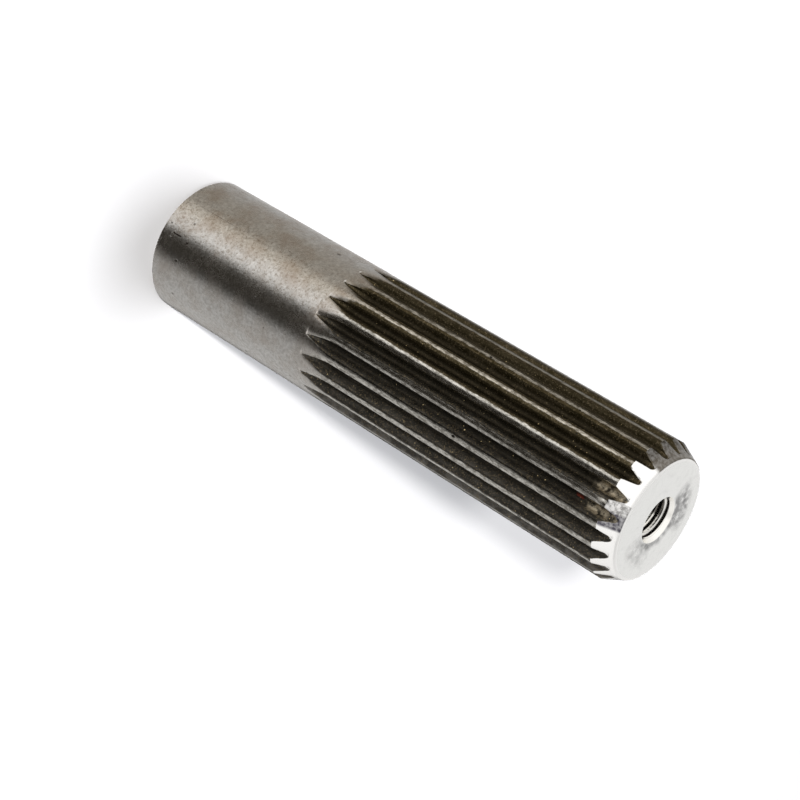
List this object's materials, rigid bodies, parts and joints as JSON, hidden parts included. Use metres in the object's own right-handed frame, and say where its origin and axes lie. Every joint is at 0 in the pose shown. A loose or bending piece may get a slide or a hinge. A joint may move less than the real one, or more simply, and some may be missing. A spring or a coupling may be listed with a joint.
{
  "type": "splined shaft",
  "caption": "Short steel stub shaft with a plain ground journal, an involute spline with hobbed run-outs and a chamfered lead, and a tapped hole in the splined end.",
  "frame": {"origin": "centre of the plain end of the journal, which the shaft stands on", "axes": "+Z along the shaft, from the plain end to the splined end; +X through the middle of one tooth"},
  "size_m": [0.035, 0.035, 0.1461],
  "materials": {
    "steel": "turned and ground, worn, stained with old oil in the gaps"
  },
  "bodies": {
    "root": {"splined_shaft": "steel"}
  },
  "joints": []
}
